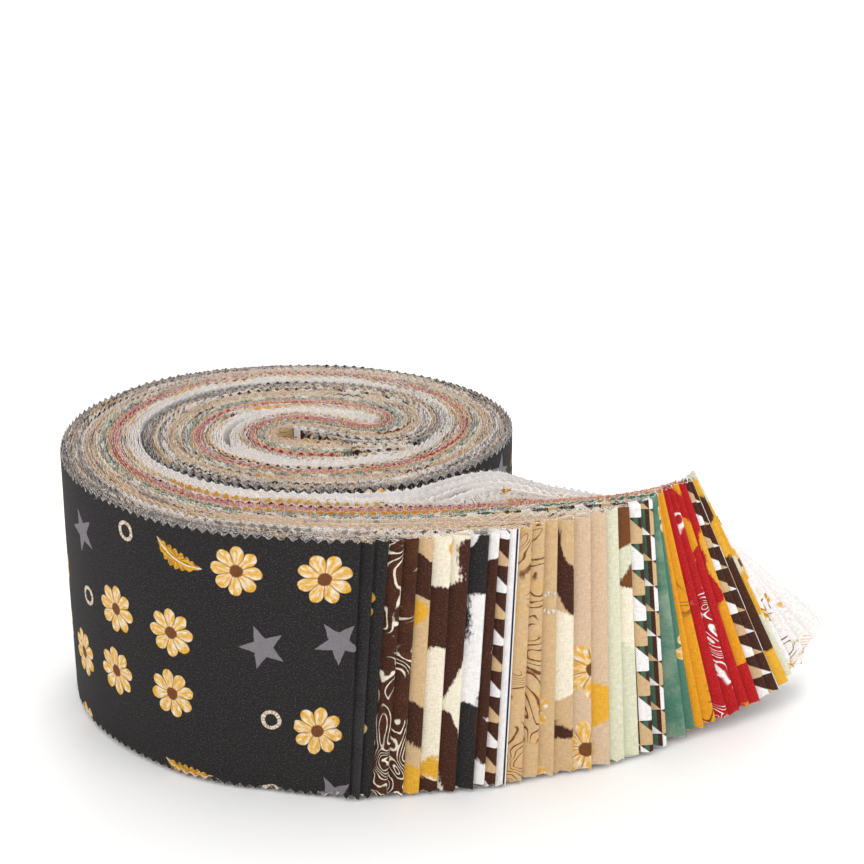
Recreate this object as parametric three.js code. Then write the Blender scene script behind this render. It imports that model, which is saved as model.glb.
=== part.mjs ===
// A precut roll of quilting cotton. Forty strips, each folded in half along its length, lie on
// each other and are wound up together, standing on their cut edges. The outer ends of the
// strips are left loose and step back one behind the other, and the inner ones fan out.
// Millimetres, +Z up, the roll standing on z = 0.
import * as THREE from 'three';
import { mergeVertices } from 'three/addons/utils/BufferGeometryUtils.js';

const STRIP_WIDTH = 63.5;
const STRIP_COUNT = 40;

// The way the stack is wound, seen from above, followed along one strip near its middle from
// the core out to where the tail begins: once round the core, back in a hairpin, then two
// turns outwards. outer and inner are the thickness that one folded strip takes up there, on
// the side of the strips with the lower numbers and on the other side.
const PATH_STRIP = 28.5;
const WINDING = [
  { x: 13.5, y: -11.5, outer: 0.28, inner: 0.28 },
  { x: 1, y: -11, outer: 0.28, inner: 0.28 },
  { x: -7, y: -6, outer: 0.28, inner: 0.34 },
  { x: -10.5, y: 1, outer: 0.28, inner: 0.40 },
  { x: -8.5, y: 8.5, outer: 0.27, inner: 0.40 },
  { x: -2.5, y: 13, outer: 0.27, inner: 0.36 },
  { x: 5, y: 12.5, outer: 0.30, inner: 0.32 },
  { x: 12, y: 9, outer: 0.35, inner: 0.30 },
  { x: 17.5, y: 7, outer: 0.38, inner: 0.30 },
  { x: 21.5, y: 8.5, outer: 0.40, inner: 0.29 },
  { x: 23, y: 13, outer: 0.40, inner: 0.29 },
  { x: 20.5, y: 18, outer: 0.43, inner: 0.32 },
  { x: 12.5, y: 22.5, outer: 0.48, inner: 0.36 },
  { x: 0.5, y: 24, outer: 0.53, inner: 0.42 },
  { x: -12, y: 21.5, outer: 0.53, inner: 0.46 },
  { x: -20.5, y: 14, outer: 0.50, inner: 0.50 },
  { x: -23.5, y: 3, outer: 0.48, inner: 0.50 },
  { x: -20.5, y: -8, outer: 0.45, inner: 0.46 },
  { x: -11.5, y: -16.5, outer: 0.41, inner: 0.42 },
  { x: 1.5, y: -21, outer: 0.39, inner: 0.38 },
  { x: 16, y: -20.5, outer: 0.41, inner: 0.36 },
  { x: 29, y: -15, outer: 0.42, inner: 0.44 },
  { x: 38, y: -4.5, outer: 0.43, inner: 0.48 },
  { x: 42, y: 8.5, outer: 0.43, inner: 0.49 },
  { x: 40, y: 21.5, outer: 0.43, inner: 0.48 },
  { x: 32, y: 33, outer: 0.43, inner: 0.48 },
  { x: 19.5, y: 41.5, outer: 0.43, inner: 0.50 },
  { x: 4, y: 45.5, outer: 0.43, inner: 0.51 },
  { x: -12, y: 44.5, outer: 0.44, inner: 0.51 },
  { x: -27, y: 38, outer: 0.46, inner: 0.51 },
  { x: -38, y: 26, outer: 0.47, inner: 0.50 },
  { x: -43.5, y: 11, outer: 0.47, inner: 0.49 },
  { x: -42.5, y: -5, outer: 0.48, inner: 0.49 },
  { x: -36, y: -20, outer: 0.50, inner: 0.49 },
  { x: -24.5, y: -32, outer: 0.52, inner: 0.52 },
  { x: -12.5, y: -39, outer: 0.54, inner: 0.54 },
  { x: 0, y: -41.5, outer: 0.57, inner: 0.57 },
];

// The loose ends: where the lower corner of a strip's outer face lies, how far it is lifted,
// how far its cut end tilts along the strip and leans towards the front, and its heading.
const ENDS = [
  { strip: 1, x: 15.1, y: -60, lift: 0, tilt: -3.2, lean: -1.1, heading: -3 },
  { strip: 3, x: 19.8, y: -60, lift: 0, tilt: -4.4, lean: -1.1, heading: 0 },
  { strip: 6, x: 30.7, y: -58.7, lift: 0, tilt: -3.2, lean: -1.8, heading: 3 },
  { strip: 9, x: 43, y: -56.2, lift: 0, tilt: -3, lean: -2.4, heading: 6 },
  { strip: 12, x: 50.6, y: -54.9, lift: 0, tilt: -2.2, lean: -2.3, heading: 7 },
  { strip: 15, x: 61.8, y: -50.5, lift: 0, tilt: 0.2, lean: -2.7, heading: 8 },
  { strip: 18, x: 75.3, y: -46.5, lift: 0, tilt: 2.4, lean: -3.1, heading: 9 },
  { strip: 22, x: 89.7, y: -38.8, lift: 0, tilt: 5.5, lean: -2.9, heading: 9 },
  { strip: 23, x: 94.6, y: -34.5, lift: 1, tilt: 9, lean: 0, heading: 9 },
  { strip: 25, x: 99.2, y: -31, lift: 1.5, tilt: 12.7, lean: 1, heading: 9 },
  { strip: 28, x: 108.6, y: -27, lift: 3.2, tilt: 18, lean: 1, heading: 10 },
  { strip: 30, x: 114, y: -22.5, lift: 4.2, tilt: 20.3, lean: 2.2, heading: 12 },
  { strip: 33, x: 122, y: -17, lift: 6, tilt: 25.2, lean: 5, heading: 18 },
  { strip: 35, x: 124.3, y: -13, lift: 8.5, tilt: 27.4, lean: 7.5, heading: 20 },
  { strip: 37, x: 128.9, y: -7.6, lift: 10, tilt: 33, lean: 13, heading: 24 },
  { strip: 39, x: 134.4, y: 3, lift: 13, tilt: 41.8, lean: 25, heading: 28 },
  { strip: 41, x: 136.6, y: 8, lift: 14.5, tilt: 44, lean: 28, heading: 30 },
];
const LIFT_SPAN = 30;
const LIFT_POWER = 2.5;

// Inside its rim the roll stands a little proud, most at the back.
const RIM_RADIUS = 56;
const RIM_SLOPE = 12;
const CROWN = 1;

// The ends from this strip on lie apart as loose ends, two folded strips to a solid.
const FIRST_LOOSE = 23;
const STRIPS_PER_END = 2;
const LOOSE_FROM_X = 41;
const GAP = 0.3;
const STEP = 0.06;

const STATIONS_PER_ROW = 4;
const TAIL_STEP = 6;
const LOOSE_STEPS = 12;
const ACROSS = 4;

const radians = THREE.MathUtils.degToRad;
const { lerp, smoothstep } = THREE.MathUtils;

// Stations along the winding, with the heading and the two thicknesses at each.
function windingStations() {
  const points = WINDING.map(({ x, y }) => new THREE.Vector3(x, y, 0));
  const path = new THREE.CatmullRomCurve3(points, false, 'catmullrom');
  const last = WINDING.length - 1;
  return Array.from({ length: last * STATIONS_PER_ROW + 1 }, (_, i) => {
    const row = Math.min(Math.floor(i / STATIONS_PER_ROW), last - 1);
    const within = i / STATIONS_PER_ROW - row;
    const along = (row + within) / last;
    const { x, y } = path.getPoint(along);
    const tangent = path.getTangent(along);
    return {
      x,
      y,
      heading: Math.atan2(tangent.y, tangent.x),
      outer: lerp(WINDING[row].outer, WINDING[row + 1].outer, within),
      inner: lerp(WINDING[row].inner, WINDING[row + 1].inner, within),
    };
  });
}

const STATIONS = windingStations();
const TAIL_ROOT = STATIONS[STATIONS.length - 1];

function crownAt(x, y) {
  const inside = smoothstep(RIM_RADIUS - Math.hypot(x, y), 0, RIM_SLOPE);
  return CROWN * (1 + y / RIM_RADIUS) * inside;
}

// The plan place of a strip's outer face at a station of the winding.
function woundPlace(station, strip) {
  const pitch = strip < PATH_STRIP ? station.outer : station.inner;
  const offset = (PATH_STRIP - strip) * pitch;
  return {
    x: station.x + offset * Math.sin(station.heading),
    y: station.y - offset * Math.cos(station.heading),
  };
}

function endRow(strip) {
  const last = ENDS.length - 1;
  let i = 0;
  while (i < last - 1 && ENDS[i + 1].strip < strip) i += 1;
  const from = ENDS[i];
  const to = ENDS[i + 1];
  const t = (strip - from.strip) / (to.strip - from.strip);
  const row = {};
  for (const key of Object.keys(from)) row[key] = lerp(from[key], to[key], t);
  return row;
}

function endCorners(strip) {
  const row = endRow(strip);
  const tilt = radians(row.tilt);
  const lean = radians(row.lean);
  const lower = new THREE.Vector3(row.x, row.y, row.lift);
  const edge = new THREE.Vector3(
    -Math.sin(tilt),
    -Math.cos(tilt) * Math.sin(lean),
    Math.cos(tilt) * Math.cos(lean),
  );
  const upper = lower.clone().addScaledVector(edge, STRIP_WIDTH);
  return { lower, upper, heading: radians(row.heading) };
}

function hermite(a, b, slopeA, slopeB, t) {
  const t2 = t * t;
  const t3 = t2 * t;
  return a * (2 * t3 - 3 * t2 + 1) + b * (3 * t2 - 2 * t3)
    + slopeA * (t3 - 2 * t2 + t) + slopeB * (t3 - t2);
}

// A point of the tail of a strip, on its upper or lower edge, t running from root to end.
function tailPoint(strip, upperEdge, t) {
  const root = woundPlace(TAIL_ROOT, strip);
  const corners = endCorners(strip);
  const end = upperEdge ? corners.upper : corners.lower;
  const reach = Math.hypot(end.x - root.x, end.y - root.y);
  const x = hermite(root.x, end.x, reach * Math.cos(TAIL_ROOT.heading),
    reach * Math.cos(corners.heading), t);
  const y = hermite(root.y, end.y, reach * Math.sin(TAIL_ROOT.heading),
    reach * Math.sin(corners.heading), t);
  if (!upperEdge) {
    const climb = Math.max(0, 1 - (1 - t) * reach / LIFT_SPAN);
    return new THREE.Vector3(x, y, end.z * climb ** LIFT_POWER);
  }
  const rootHeight = STRIP_WIDTH + crownAt(root.x, root.y);
  return new THREE.Vector3(x, y, lerp(rootHeight, end.z, smoothstep(t, 0, 1)));
}

// How far along its tail an edge of a strip reaches a given X.
function tailAt(strip, upperEdge, x) {
  let low = 0;
  let high = 1.3;
  for (let i = 0; i < 30; i += 1) {
    const middle = (low + high) / 2;
    if (tailPoint(strip, upperEdge, middle).x < x) low = middle;
    else high = middle;
  }
  return low;
}

// A section across a stack of strips is a pair of rows of points, lower and upper.
function woundSection(station, outer, inner) {
  const section = { lower: [], upper: [] };
  for (let i = 0; i < ACROSS; i += 1) {
    const { x, y } = woundPlace(station, lerp(outer, inner, i / (ACROSS - 1)));
    section.lower.push(new THREE.Vector3(x, y, 0));
    section.upper.push(new THREE.Vector3(x, y, STRIP_WIDTH + crownAt(x, y)));
  }
  return section;
}

// A section of the tail where its upper and lower edge lie at the given X.
function tailSection(lowerX, upperX, outer, inner) {
  const section = { lower: [], upper: [] };
  for (let i = 0; i < ACROSS; i += 1) {
    const strip = lerp(outer, inner, i / (ACROSS - 1));
    section.lower.push(tailPoint(strip, false, tailAt(strip, false, lowerX)));
    section.upper.push(tailPoint(strip, true, tailAt(strip, true, upperX)));
  }
  return section;
}

// Joins sections into one closed body: top, underside, outer and inner side, and two ends.
function bandGeometry(sections) {
  const across = sections[0].lower.length;
  const rings = sections.map((s) => [...s.lower, ...s.upper.toReversed()]);
  const count = 2 * across;
  const index = [];
  for (let i = 0; i + 1 < rings.length; i += 1) {
    for (let j = 0; j < count; j += 1) {
      const a = i * count + j;
      const b = i * count + (j + 1) % count;
      index.push(a, b, a + count, b, b + count, a + count);
    }
  }
  const last = (rings.length - 1) * count;
  for (let j = 0; j + 1 < across; j += 1) {
    const lower = j;
    const upper = count - 1 - j;
    index.push(lower, upper - 1, lower + 1, lower, upper, upper - 1);
    index.push(last + lower, last + lower + 1, last + upper - 1);
    index.push(last + lower, last + upper - 1, last + upper);
  }
  const geometry = new THREE.BufferGeometry();
  const points = rings.flat().flatMap((p) => [p.x, p.y, p.z]);
  geometry.setAttribute('position', new THREE.Float32BufferAttribute(points, 3));
  geometry.setIndex(index);
  return mergeVertices(geometry);
}

function fabric(color) {
  return new THREE.MeshStandardMaterial({ color, roughness: 0.92, metalness: 0 });
}

function piece(name, sections, color) {
  const mesh = new THREE.Mesh(bandGeometry(sections), fabric(color));
  mesh.name = name;
  return mesh;
}

// The wound stack, whose outer side steps in where each of its strips ends. Past the place
// where the loose ends part from it, its inner side is the last strip before them.
function woundSections() {
  const inmost = STRIP_COUNT + 1;
  const sections = STATIONS.map((station) => woundSection(station, 1, inmost));
  const first = endCorners(1);
  const steps = Math.round((first.lower.x - TAIL_ROOT.x) / TAIL_STEP);
  for (let i = 1; i < steps; i += 1) {
    const lowerX = lerp(TAIL_ROOT.x, first.lower.x, i / steps);
    const upperX = lerp(TAIL_ROOT.x, first.upper.x, i / steps);
    sections.push(tailSection(lowerX, upperX, 1, inmost));
  }
  const lastStepped = FIRST_LOOSE - 1;
  let inner = inmost;
  for (let strip = 1; strip <= lastStepped; strip += 1) {
    const { lower, upper } = endCorners(strip);
    sections.push(tailSection(lower.x, upper.x, strip, inner));
    if (lower.x < LOOSE_FROM_X && endCorners(strip + 1).lower.x >= LOOSE_FROM_X) {
      sections.push(tailSection(LOOSE_FROM_X, LOOSE_FROM_X, strip + 1, inner));
      inner = FIRST_LOOSE - GAP;
      sections.push(tailSection(LOOSE_FROM_X + STEP, LOOSE_FROM_X + STEP, strip + 1, inner));
    } else if (strip < lastStepped) {
      sections.push(tailSection(lower.x + STEP, upper.x + STEP, strip + 1, inner));
    }
  }
  return sections;
}

// One loose end: two folded strips, from where they part from the roll to their cut ends.
function looseSections(firstStrip) {
  const faces = [firstStrip + GAP / 2, firstStrip + STRIPS_PER_END - GAP / 2];
  const startX = LOOSE_FROM_X + GAP + STEP;
  const starts = faces.map((strip) => ({
    lower: tailAt(strip, false, startX),
    upper: tailAt(strip, true, startX),
  }));
  const sections = [];
  for (let i = 0; i <= LOOSE_STEPS; i += 1) {
    const along = i / LOOSE_STEPS;
    const section = { lower: [], upper: [] };
    faces.forEach((strip, side) => {
      section.lower.push(tailPoint(strip, false, lerp(starts[side].lower, 1, along)));
      section.upper.push(tailPoint(strip, true, lerp(starts[side].upper, 1, along)));
    });
    sections.push(section);
  }
  return sections;
}

const WOUND_COLOR = 0x8a7a6c;
const END_COLORS = [
  0x3f6d5c, 0xd98e12, 0xa81c22, 0xa3201f, 0xe2ddd0, 0x4a2c1c, 0xe6e2d6, 0xeeeae2, 0xf2efe9,
];

const roll = new THREE.Group();
roll.add(piece('wound_strips', woundSections(), WOUND_COLOR));
END_COLORS.forEach((color, i) => {
  const name = `loose_end_${String(i + 1).padStart(2, '0')}`;
  roll.add(piece(name, looseSections(FIRST_LOOSE + i * STRIPS_PER_END), color));
});

// The origin is the middle of the roll's footprint, on the surface it stands on.
const box = new THREE.Box3().setFromObject(roll);
roll.position.set(-(box.min.x + box.max.x) / 2, -(box.min.y + box.max.y) / 2, 0);

export default roll;
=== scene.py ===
"""A precut roll of quilting cotton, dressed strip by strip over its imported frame.

Forty printed strips, each folded in half along its length, are wound up together and stand on
their pinked edges. Tables are in millimetres from the middle of the roll, and the meshes are in
metres in the frame's axes.
"""

import math

import bpy
import numpy as np
from bpy.props import FloatProperty, FloatVectorProperty, IntProperty, PointerProperty
from bpy.types import Operator, Panel, PropertyGroup
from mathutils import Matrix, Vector


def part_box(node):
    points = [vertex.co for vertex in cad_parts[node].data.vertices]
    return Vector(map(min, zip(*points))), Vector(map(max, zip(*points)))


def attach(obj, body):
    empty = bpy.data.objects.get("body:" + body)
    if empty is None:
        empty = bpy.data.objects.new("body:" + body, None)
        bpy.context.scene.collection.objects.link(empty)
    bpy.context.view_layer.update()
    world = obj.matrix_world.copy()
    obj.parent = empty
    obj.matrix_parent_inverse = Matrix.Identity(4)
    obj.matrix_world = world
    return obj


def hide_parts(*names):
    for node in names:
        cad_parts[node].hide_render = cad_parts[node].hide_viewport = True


bl_info = {
    "name": "Quilting Strip Roll",
    "version": (1, 0, 0),
    "blender": (4, 5, 0),
    "location": "3D View > Sidebar > Quilting",
    "description": "Builds a wound roll of precut, pinked quilting cotton strips",
    "category": "Add Mesh",
}

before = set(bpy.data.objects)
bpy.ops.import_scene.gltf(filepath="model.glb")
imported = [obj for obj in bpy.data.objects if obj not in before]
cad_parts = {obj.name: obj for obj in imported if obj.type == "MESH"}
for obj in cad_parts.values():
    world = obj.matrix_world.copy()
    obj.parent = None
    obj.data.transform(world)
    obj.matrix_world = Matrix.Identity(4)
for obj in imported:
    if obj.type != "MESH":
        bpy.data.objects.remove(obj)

MM = 0.001
STRIP_COUNT = 40
FIRST_LOOSE = 23
STRIPS_PER_LOOSE_END = 2

# The way the stack is wound, followed along one strip near its middle from the core out to where
# the tail begins. Outer and inner are the thickness that one folded strip takes up there, on the
# side of the strips with the lower numbers and on the other side. Only the last strips, from the
# doubled one on, are long enough for the first rows, where they double back in the core: before
# the doubled rows the path is that of the doubled strip, and after them that of the path strip.
PATH_STRIP = 28.5
DOUBLED_STRIP = 30.7
DOUBLED_ROWS = (5, 6.5)
WINDING_COLUMNS = ("x", "y", "outer", "inner")
WINDING = (
    (14.5, -8.1, 0.30, 0.54),
    (19.5, -8.1, 0.30, 0.50),
    (24.4, -7.2, 0.30, 0.46),
    (26.0, -7.7, 0.30, 0.42),
    (24.4, -8.3, 0.29, 0.48),
    (19.5, -9.0, 0.27, 0.54),
    (13.5, -11.5, 0.58, 0.36),
    (1, -11, 0.67, 0.32),
    (-7, -6, 0.50, 0.36),
    (-10.5, 1, 0.41, 0.40),
    (-8.5, 8.5, 0.37, 0.40),
    (-2.5, 13, 0.38, 0.40),
    (5, 12.5, 0.41, 0.46),
    (12, 9, 0.39, 0.50),
    (17.5, 7, 0.43, 0.42),
    (21.5, 8.5, 0.55, 0.29),
    (23, 13, 0.52, 0.29),
    (20.5, 18, 0.52, 0.40),
    (12.5, 22.5, 0.52, 0.52),
    (0.5, 24, 0.53, 0.46),
    (-12, 21.5, 0.53, 0.46),
    (-20.5, 14, 0.50, 0.50),
    (-23.5, 3, 0.48, 0.50),
    (-20.5, -8, 0.45, 0.46),
    (-11.5, -16.5, 0.41, 0.42),
    (1.5, -21, 0.39, 0.38),
    (16, -20.5, 0.41, 0.36),
    (29, -15, 0.42, 0.44),
    (38, -4.5, 0.43, 0.48),
    (42, 8.5, 0.43, 0.49),
    (40, 21.5, 0.43, 0.48),
    (32, 33, 0.43, 0.48),
    (19.5, 41.5, 0.43, 0.50),
    (4, 45.5, 0.43, 0.51),
    (-12, 44.5, 0.44, 0.51),
    (-27, 38, 0.46, 0.51),
    (-38, 26, 0.47, 0.50),
    (-43.5, 11, 0.47, 0.49),
    (-42.5, -5, 0.48, 0.49),
    (-36, -20, 0.50, 0.49),
    (-24.5, -32, 0.52, 0.52),
    (-12.5, -39, 0.54, 0.54),
    (0, -41.5, 0.57, 0.57),
)

# The row of the winding where each strip begins. The outermost strips stop short of the curl in
# the core. No strip is longer than its share of half the length that it was cut to.
BEGINNING_COLUMNS = ("strip", "row")
BEGINNINGS = (
    (1, 12.9),
    (4, 12.3),
    (12, 11.2),
    (13, 5.25),
    (14, 5.3),
    (20, 5.7),
    (26, 6.1),
    (30, 6.4),
    (31, 0.05),
)
LONGEST = 1.03

# At the front the last strips spring away from the others and lie against the roll behind them:
# how far the last one stands back, by the place from left to right, and over how many strips
# that fades out. It reaches back over the last rows of the winding, and is smoothed over some
# steps of half a millimetre.
SPRING_COLUMNS = ("x", "shift", "spread")
SPRING = (
    (-46, 0, 1),
    (-30, 1.2, 1),
    (-15, 2.8, 1),
    (0, 2.2, 1),
    (10, 2.9, 1),
    (20, 4.2, 1),
    (30, 6.2, 1.6),
    (36, 10.5, 3.2),
    (41, 13.6, 5),
    (46, 15, 6.5),
    (50, 14.5, 7),
    (54, 11.5, 7),
    (60, 5.5, 7),
    (67, 2, 7),
    (80, 0, 7),
)
SPRING_ROWS = 5
SPRING_SMOOTHING = 8
SPRING_STEP = 0.5

# The last strips also stay upright for longer before they tilt over.
FIRST_UPRIGHT = 36
UPRIGHT_GAIN = 0.48
UPRIGHT_DELAY = 0.35

# The loose ends: where the lower corner of a strip's outer face lies, how far it is lifted, how
# far its fold tilts along the strip and leans towards the front, and its heading, in degrees.
END_COLUMNS = ("strip", "x", "y", "lift", "tilt", "lean", "heading")
ENDS = (
    (1, 15.1, -60, 0, -3.2, -1.1, -3),
    (3, 19.8, -60, 0, -4.4, -1.1, 0),
    (6, 30.7, -58.7, 0, -3.2, -1.8, 3),
    (9, 43, -56.2, 0, -3, -2.4, 6),
    (12, 50.6, -54.9, 0, -2.2, -2.3, 7),
    (15, 61.8, -50.5, 0, 0.2, -2.7, 8),
    (18, 75.3, -46.5, 0, 2.4, -3.1, 9),
    (22, 89.7, -38.8, 0, 5.5, -2.9, 9),
    (23, 94.6, -34.5, 1, 9, 0, 9),
    (25, 99.2, -31, 1.5, 12.7, 1, 9),
    (28, 108.6, -27, 3.2, 18, 1, 10),
    (30, 114, -22.5, 4.2, 20.3, 2.2, 12),
    (33, 122, -17, 6, 25.2, 5, 18),
    (35, 124.3, -13, 8.5, 27.4, 7.5, 20),
    (37, 128.9, -7.6, 10, 33, 13, 24),
    (39, 134.4, 3, 13, 41.8, 25, 28),
    (41, 136.6, 8, 14.5, 44, 28, 30),
)
# A lifted end comes down to the floor over this span, and the crown of the roll is gone by this
# share of a tail.
LIFT_SPAN = 30
LIFT_POWER = 2.5
CROWN_ENDS = 0.6

# Inside its rim the roll stands a little proud, most at the back.
RIM_RADIUS = 56
RIM_SLOPE = 12
CROWN = 1

# The camera, from the middle of the roll.
CAMERA_PLACE = (33.8646, -431.9605, 230.2640)
CAMERA_DOWN = 20.827
CAMERA_LENS = 79.17
CAMERA_SENSOR = 36.0
CAMERA_NEAR = 0.01

# The strips from the outermost in: the print, its ground, main and second colour, the size of
# its repeat in millimetres, how much of the ground the main colour covers, where on the cloth
# the strip was cut, and the record's slot. For triangles the cover is the strength of the green
# stripes in the dark halves, and for stripes it is their share of the repeat.
STRIP_COLUMNS = ("print", "ground", "main", "second", "size", "cover", "cut", "slot")
STRIPS = (
    ("motifs", "black", "gold", "grey", 18, 0.9, 3.0, "wound_cotton"),
    ("solid", "black", "grey", "grey", 25, 0.1, 1.7, "wound_cotton"),
    ("motifs", "black", "gold", "cream", 18, 0.9, 5.2, "wound_cotton"),
    ("sketch", "brown", "cream", "umber", 16, 0.32, 2.1, "wound_cotton"),
    ("sketch", "brown", "cream", "umber", 18, 0.30, 7.7, "wound_cotton"),
    ("hide", "brown", "tan", "gold", 24, 0.45, 1.3, "wound_cotton"),
    ("hide", "brown", "cream", "gold", 22, 0.45, 4.4, "wound_cotton"),
    ("hide", "cream", "brown", "brown", 30, 0.35, 9.1, "wound_cotton"),
    ("hide", "white", "black", "brown", 24, 0.45, 6.3, "wound_cotton"),
    ("hide", "white", "brown", "brown", 20, 0.45, 2.9, "wound_cotton"),
    ("triangles", "white", "brown", "tan", 6.35, 0.0, 0.5, "wound_cotton"),
    ("stripes", "white", "navy", "white", 2.6, 0.17, 3.3, "wound_cotton"),
    ("sketch", "tan", "umber", "gold", 15, 0.38, 8.2, "wound_cotton"),
    ("sketch", "tan", "umber", "gold", 17, 0.34, 5.9, "wound_cotton"),
    ("motifs", "tan", "gold", "brown", 20, 0.5, 6.6, "wound_cotton"),
    ("hide", "tan", "brown", "cream", 24, 0.28, 7.4, "wound_cotton"),
    ("motifs", "sand", "gold", "brown", 22, 0.6, 4.1, "wound_cotton"),
    ("hide", "sand", "umber", "gold", 28, 0.28, 3.6, "wound_cotton"),
    ("motifs", "sage", "gold", "umber", 26, 0.8, 2.2, "wound_cotton"),
    ("hide", "sage", "umber", "cream", 26, 0.26, 1.9, "wound_cotton"),
    ("triangles", "white", "brown", "tan", 6.35, 1.0, 0.1, "wound_cotton"),
    ("triangles", "white", "brown", "tan", 6.35, 1.0, 0.8, "wound_cotton"),
    ("solid", "teal", "sage", "teal", 9, 0.25, 2.6, "teal_cotton"),
    ("motifs", "teal", "gold", "cream", 20, 0.8, 6.1, "teal_cotton"),
    ("sketch", "orange", "umber", "gold", 20, 0.20, 3.7, "orange_cotton"),
    ("sketch", "orange", "umber", "gold", 20, 0.28, 8.8, "orange_cotton"),
    ("sketch", "red", "white", "crimson", 12, 0.22, 1.4, "red_cotton"),
    ("sketch", "red", "white", "crimson", 12, 0.26, 5.5, "red_cotton"),
    ("hide", "red", "orange", "red", 26, 0.30, 7.9, "yellow_cotton"),
    ("hide", "red", "orange", "gold", 26, 0.34, 4.7, "yellow_cotton"),
    ("triangles", "white", "brown", "tan", 6.35, 0.0, 0.3, "cream_cotton"),
    ("triangles", "white", "brown", "tan", 6.35, 0.0, 0.6, "cream_cotton"),
    ("hide", "brown", "gold", "umber", 26, 0.35, 6.8, "brown_cotton"),
    ("hide", "sage", "gold", "umber", 20, 0.40, 3.9, "brown_cotton"),
    ("motifs", "white", "gold", "umber", 17, 0.8, 8.4, "white_cotton"),
    ("sketch", "white", "umber", "gold", 14, 0.34, 2.4, "white_cotton"),
    ("motifs", "white", "gold", "umber", 18, 0.8, 7.1, "white_cotton"),
    ("sketch", "white", "gold", "cream", 14, 0.34, 5.0, "white_cotton"),
    ("solid", "white", "cream", "white", 20, 0.1, 9.6, "white_cotton"),
    ("solid", "white", "cream", "white", 20, 0.1, 0.9, "white_cotton"),
)


def column(rows, columns, name):
    """One named column of a table, as an array."""
    return np.array([row[columns.index(name)] for row in rows], float)


def length(name, description, metres):
    return FloatProperty(name=name, description=description, default=metres, unit="LENGTH")


def power(name, description, watts):
    return FloatProperty(name=name, description=description, default=watts, unit="POWER")


class StripSizes(PropertyGroup):
    """Sizes of a precut strip and of its cut edges"""

    strip_width: length("Strip width", "Width of a strip from tooth tip to tooth tip", 0.0635)
    strip_length: length(
        "Strip length", "Length that a strip is cut to before it is folded in half", 1.118
    )
    cloth_thickness: length(
        "Cloth thickness", "Thickness of one layer of cotton where it isn't pressed", 0.00028
    )
    tooth_pitch: length("Tooth pitch", "Distance between the teeth of a pinked edge", 0.0025)
    tooth_depth: length("Tooth depth", "Depth of the teeth of a pinked edge", 0.0012)
    unevenness: length("Unevenness", "How far the strips stand above or below each other", 0.0005)
    fold_room: length("Fold room", "Most that a folded strip opens at its fold", 0.0016)
    least_fold_room: length(
        "Least fold room", "Least that a folded strip opens at its fold", 0.0014
    )
    fray_length: length(
        "Fray length", "Usual length of the fibres that stand out of a cut edge", 0.0008
    )
    fray_width: length("Fray width", "Width of a tuft of fibres at its root", 0.00013)
    fray_tufts: IntProperty(
        name="Tufts a tooth",
        description="Tufts of fibres on each half of a tooth",
        default=3,
    )
    thread_pitch: length("Thread pitch", "Distance between the threads of the weave", 0.00056)


def cloth_colour(name, description, red, green, blue):
    """A colour of the prints, as it looks in daylight, out of 255."""
    return FloatVectorProperty(
        name=name,
        description=description,
        default=(red / 255, green / 255, blue / 255),
        subtype="COLOR_GAMMA",
        size=3,
        min=0.0,
        max=1.0,
    )


class ClothColours(PropertyGroup):
    """Colours of the prints and of the frayed edges"""

    black: cloth_colour("Black", "Ground of the darkest print", 38, 36, 36)
    grey: cloth_colour("Grey", "Motifs on the black print", 122, 118, 122)
    brown: cloth_colour("Brown", "Dark brown of the patches and triangles", 66, 36, 24)
    umber: cloth_colour("Umber", "Brown of the fine lines", 112, 66, 32)
    tan: cloth_colour("Tan", "Tan grounds", 203, 171, 128)
    sand: cloth_colour("Sand", "Paler tan grounds", 208, 180, 150)
    cream: cloth_colour("Cream", "Cream of the patches", 234, 224, 202)
    white: cloth_colour("White", "White grounds", 236, 232, 230)
    sage: cloth_colour("Sage", "Pale green grounds", 214, 213, 186)
    teal: cloth_colour("Teal", "Blue green ground", 74, 120, 101)
    moss: cloth_colour("Moss", "Green stripes of the triangles", 62, 98, 78)
    orange: cloth_colour("Orange", "Golden orange grounds", 218, 148, 28)
    gold: cloth_colour("Gold", "Gold of the motifs", 220, 165, 50)
    red: cloth_colour("Red", "Red grounds", 176, 22, 26)
    crimson: cloth_colour("Crimson", "Darker mottling of the red grounds", 128, 14, 22)
    navy: cloth_colour("Navy", "Narrow dark line", 36, 42, 58)
    # Undyed is the colour of bare fibres. It is kept a little darker than white, so on white strips it
    # also paints shade between the pinked teeth.
    undyed_and_tooth_shade: cloth_colour("Undyed", "Undyed fibres at the cut edges", 236, 228, 222)


class StageSizes(PropertyGroup):
    """The floor and the lamps"""

    floor_size: length("Floor size", "Side of the pale floor", 6.0)
    key_power: power("Key power", "Power of the large lamp at the front left", 4.7)
    fill_power: power("Fill power", "Power of the lamp at the right", 4.7)
    top_power: power("Top power", "Power of the lamp above", 4.6)
    far_power: power("Far power", "Power of the lamp above the floor far behind the roll", 30.0)
    world_strength: FloatProperty(
        name="Surroundings",
        description="Strength of the white surroundings",
        default=0.64,
    )


# The shape of the winding and of the loose ends, in millimetres


def smoothstep(value, low, high):
    t = np.clip((value - low) / (high - low), 0, 1)
    return t * t * (3 - 2 * t)


def winding_at(places):
    """Plan place and direction of the winding at places counted in rows of its table."""
    points = np.column_stack([column(WINDING, WINDING_COLUMNS, name) for name in ("x", "y")])
    before = 2 * points[0] - points[1]
    after = 2 * points[-1] - points[-2]
    points = np.vstack([before, points, after])
    row = np.clip(np.floor(places).astype(int), 0, len(WINDING) - 2)
    t = (places - row)[:, None]
    a, b, c, d = (points[row + i] for i in range(4))
    line = c - a
    bend = 2 * a - 5 * b + 4 * c - d
    turn = d - a + 3 * (b - c)
    place = b + 0.5 * t * (line + t * (bend + t * turn))
    slope = 0.5 * (line + t * (2 * bend + 3 * t * turn))
    return place, np.arctan2(slope[:, 1], slope[:, 0])


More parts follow.
